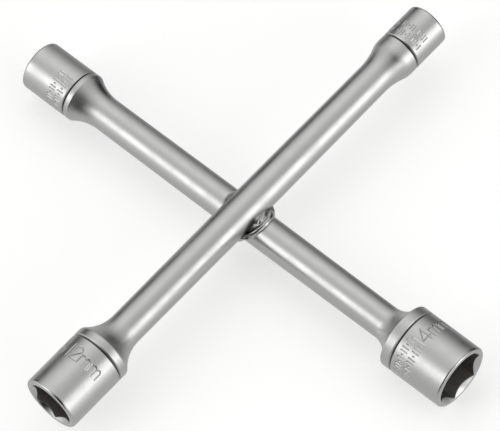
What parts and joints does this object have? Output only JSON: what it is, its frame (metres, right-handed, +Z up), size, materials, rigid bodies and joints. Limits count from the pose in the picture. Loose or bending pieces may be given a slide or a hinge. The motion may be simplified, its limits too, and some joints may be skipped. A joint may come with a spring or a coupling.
{
  "type": "four-way socket wrench",
  "caption": "Cross-shaped wrench of satin-plated steel: round bars welded where they cross, with a hexagon socket of a different size on every end.",
  "frame": {"origin": "under the crossing of the two bars, level with the lowest point of the wrench (the underside of the 14 mm socket)", "axes": "+X along the lower bar towards the 14 mm socket, +Y along the upper bar towards the 8 mm socket, +Z up through the crossing, from the lower bar to the upper bar"},
  "size_m": [0.1544, 0.1544, 0.0225],
  "materials": {
    "satin_chrome": "satin chrome plate on chrome-vanadium steel",
    "plated_weld": "satin chrome plate over a weld bead"
  },
  "bodies": {
    "root": {"lower_bar": "satin_chrome", "upper_bar": "satin_chrome", "socket_14mm": "satin_chrome", "socket_12mm": "satin_chrome", "socket_10mm": "satin_chrome", "socket_8mm": "satin_chrome", "weld_right": "plated_weld", "weld_left": "plated_weld"}
  },
  "joints": []
}
